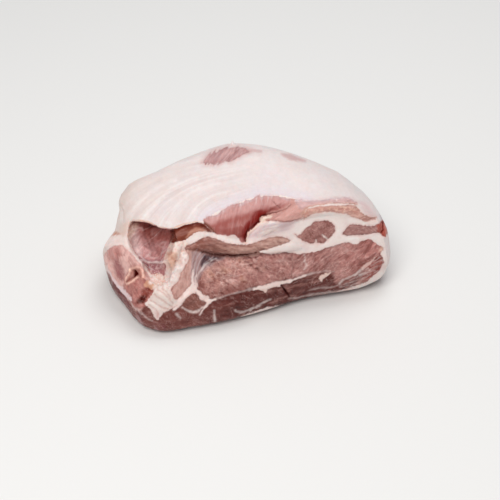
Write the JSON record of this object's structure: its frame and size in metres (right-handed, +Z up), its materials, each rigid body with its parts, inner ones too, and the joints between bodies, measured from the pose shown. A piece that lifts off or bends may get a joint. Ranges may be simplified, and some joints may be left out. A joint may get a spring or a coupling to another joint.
{
  "type": "pork loin end",
  "caption": "Boneless end joint of raw pork loin: stacked lean muscles with seam fat between them, under a smooth white fat cap.",
  "frame": {"origin": "centre of the bounding box, on the plane it rests on", "axes": "+X along the joint towards its fat-covered end, -Y the cut front face, +Z up to the fat cap"},
  "size_m": [0.2248, 0.1406, 0.0978],
  "materials": {
    "fat_cap": "smooth, moist, translucent raw fat",
    "upper_muscle": "moist raw lean, pale pink",
    "seam_fat": "soft moist seam fat",
    "eye_muscle": "moist raw lean",
    "flat_muscle": "moist raw lean",
    "roll_muscle": "moist raw lean, brownish",
    "main_muscle": "moist raw lean with coarse grain",
    "bottom_muscle": "moist raw lean, dark"
  },
  "bodies": {
    "root": {"fat_cap": "fat_cap", "upper_muscle": "upper_muscle", "seam_fat": "seam_fat", "eye_muscle": "eye_muscle", "flat_muscle": "flat_muscle", "roll_muscle": "roll_muscle", "main_muscle": "main_muscle", "bottom_muscle": "bottom_muscle"}
  },
  "joints": []
}
